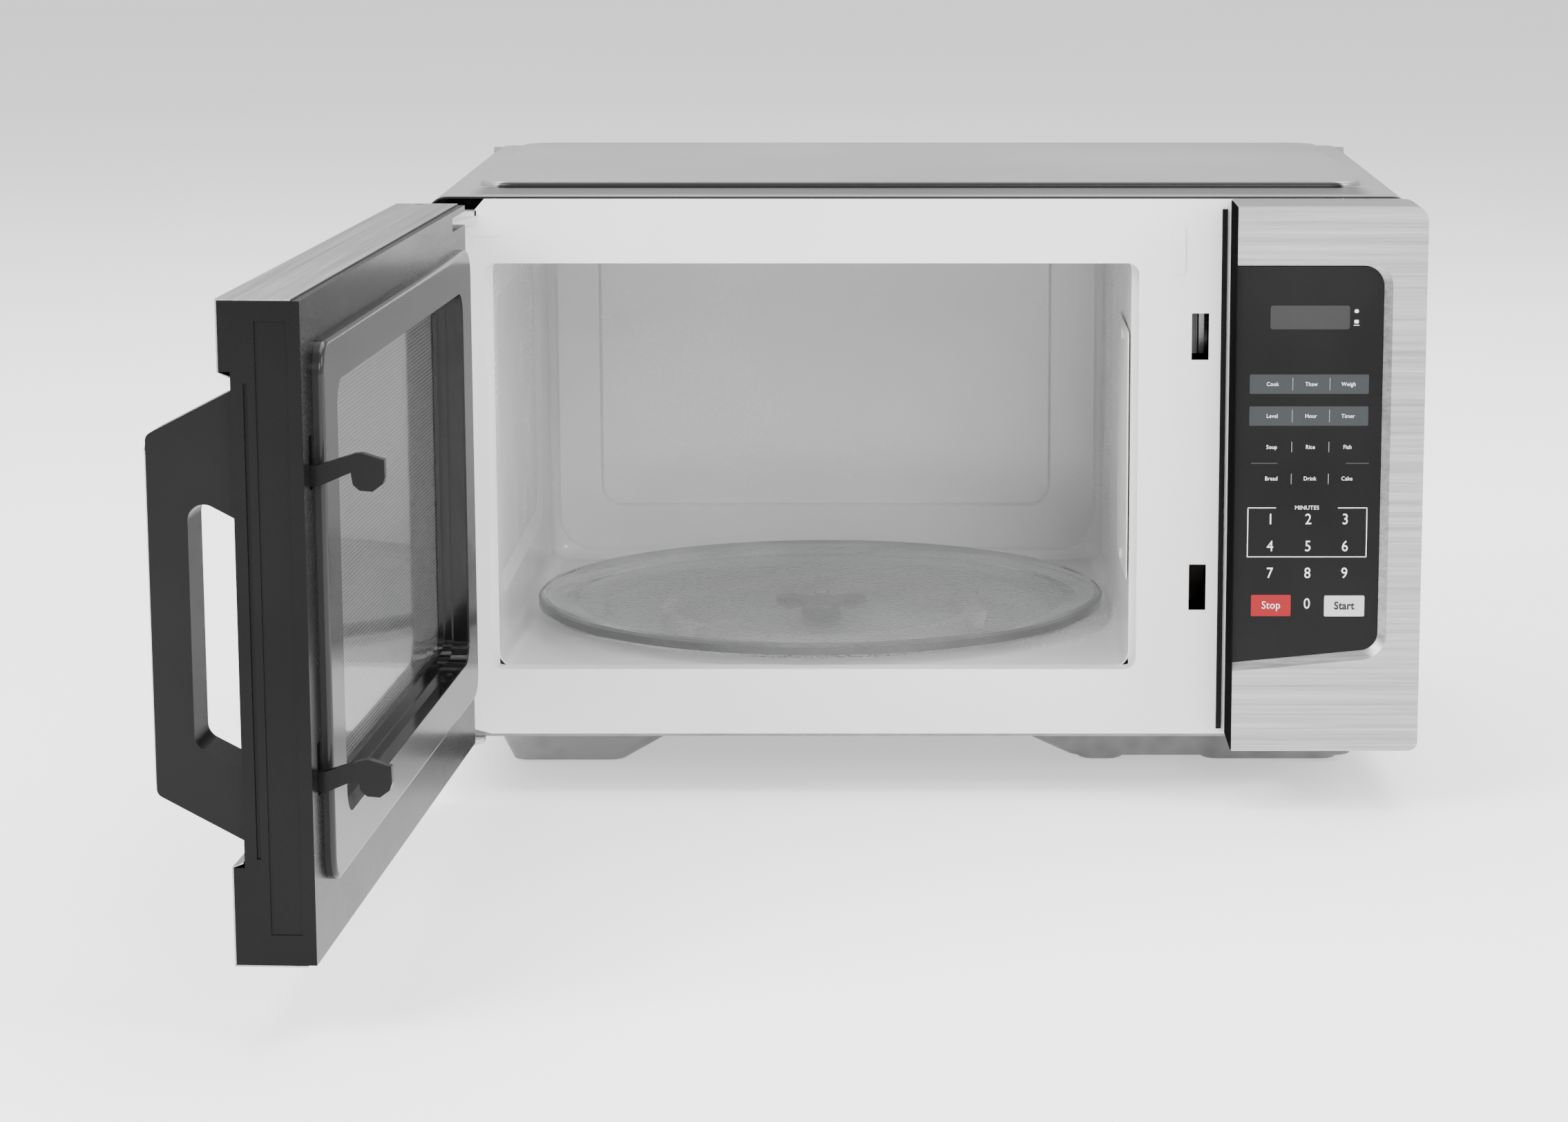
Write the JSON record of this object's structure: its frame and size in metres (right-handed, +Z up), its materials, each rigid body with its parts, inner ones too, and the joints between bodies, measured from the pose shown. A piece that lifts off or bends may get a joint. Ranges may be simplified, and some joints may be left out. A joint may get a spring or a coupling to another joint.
{
  "type": "countertop microwave oven",
  "caption": "Countertop microwave oven with a side-hinged window door, looped handle, twin latch hooks, glass turntable on a roller ring and a flat key panel.",
  "frame": {"origin": "on the plane of the feet, under the middle of the box round the oven with its door open; the middle of the case is 32 mm to the right of it and 211 mm behind it", "axes": "+X to the right facing the oven, +Y to its rear, +Z up"},
  "size_m": [0.5854, 0.8076, 0.3212],
  "materials": {
    "painted_case": "satin silver-grey enamel",
    "white_enamel": "smooth white enamel",
    "galvanised": "dull zinc coat",
    "stainless": "fine horizontal brushing",
    "black_gloss": "gloss",
    "black_satin": "satin",
    "dark_ring": "smooth dark grey enamel under clear film",
    "screen_grey": "grey enamel, perforated",
    "clear_film": "clear",
    "window_glass": "tinted, black border",
    "plate_glass": "clear, pebbled underside",
    "rubber": "matte",
    "mica": "smooth mica",
    "white_plastic": "satin",
    "grey_plastic": "satin",
    "copper": "lacquered winding",
    "laminated": "varnished laminations",
    "alloy": "plain",
    "card_green": "solder resist",
    "membrane": "smooth black print",
    "display": "smoked window",
    "bright": "bright"
  },
  "bodies": {
    "chassis": {"outer_cabinet": "painted_case", "base_pan": "galvanised", "rubber_feet": "rubber", "rear_panel": "galvanised", "rear_spacers": "black_satin", "cord_gland": "black_satin", "front_frame": "white_enamel", "cavity_liner": "white_enamel", "waveguide_cover": "mica", "turntable_motor": "galvanised", "waveguide": "galvanised", "magnetron": "alloy", "hv_transformer": "laminated", "hv_capacitor": "alloy", "hv_diode": "black_satin", "fan_shroud": "grey_plastic", "fan_motor": "laminated", "cavity_lamp": "clear_film", "lamp_holder": "white_plastic", "noise_filter_board": "card_green", "thermal_cutout": "black_satin", "latch_bracket": "black_satin", "interlock_switches": "black_satin", "control_panel_fascia": "stainless", "control_panel_housing": "black_satin", "keypad_membrane": "membrane", "display_window": "display", "control_board": "card_green", "side_strip": "black_satin", "hinge_plate_upper": "galvanised", "hinge_plate_lower": "galvanised", "case_screws": "bright"},
    "door": {"door_frame": "black_satin", "door_trim_top": "stainless", "door_trim_bottom": "stainless", "door_glass": "window_glass", "door_seal_ring": "dark_ring", "door_window_frame": "black_gloss", "door_screen": "screen_grey", "door_inner_film": "clear_film", "door_handle": "black_satin", "handle_skin": "bright", "handle_screws": "bright", "latch_spring": "bright", "door_hinge_pins": "bright"},
    "latch": {"latch_hooks": "black_satin"},
    "coupler": {"motor_shaft": "white_plastic", "turntable_coupler": "white_plastic"},
    "plate": {"glass_turntable": "plate_glass"},
    "ring": {"roller_ring": "white_plastic"},
    "roller_one": {"roller_1": "white_plastic"},
    "roller_two": {"roller_2": "white_plastic"},
    "roller_three": {"roller_3": "white_plastic"},
    "fan": {"fan_blade": "grey_plastic"}
  },
  "joints": [
    {"name": "door_hinge", "type": "hinge", "parent": "chassis", "child": "door", "pos_m": [-0.2248, 0.0153, 0.17], "axis": [0, 0, -1], "range_deg": [-93, 12]},
    {"name": "latch_slide", "type": "slide", "parent": "door", "child": "latch", "axis": [0, 0, 1], "range_m": [0, 0.005], "stiffness_N_per_m": 400, "springref_m": -0.004, "deforming": ["latch_spring"]},
    {"name": "coupler_spin", "type": "hinge", "parent": "chassis", "child": "coupler", "pos_m": [-0.0241, 0.2138, 0.06], "axis": [0, 0, 1], "continuous": true},
    {"name": "plate_lift", "type": "slide", "parent": "coupler", "child": "plate", "axis": [0, 0, 1], "range_m": [0, 0.03]},
    {"name": "ring_spin", "type": "hinge", "parent": "chassis", "child": "ring", "pos_m": [-0.0241, 0.2138, 0.06], "axis": [0, 0, 1], "continuous": true},
    {"name": "fan_spin", "type": "hinge", "parent": "chassis", "child": "fan", "pos_m": [0.2222, 0.3488, 0.226], "axis": [0, 1, 0], "continuous": true},
    {"name": "roller_one_spin", "type": "hinge", "parent": "ring", "child": "roller_one", "pos_m": [-0.04112, 0.31031, 0.0625], "axis": [-0.1736, 0.9848, 0], "continuous": true},
    {"name": "roller_two_spin", "type": "hinge", "parent": "ring", "child": "roller_two", "pos_m": [-0.09917, 0.15081, 0.0625], "axis": [-0.766, -0.6428, 0], "continuous": true},
    {"name": "roller_three_spin", "type": "hinge", "parent": "ring", "child": "roller_three", "pos_m": [0.06799, 0.18028, 0.0625], "axis": [0.9397, -0.342, 0], "continuous": true}
  ],
  "couplings": [
    {"joint": "ring_spin", "follows": "coupler_spin", "ratio": 0.5},
    {"joint": "roller_one_spin", "follows": "coupler_spin", "ratio": -7.9032},
    {"joint": "roller_two_spin", "follows": "coupler_spin", "ratio": -7.9032},
    {"joint": "roller_three_spin", "follows": "coupler_spin", "ratio": -7.9032}
  ]
}
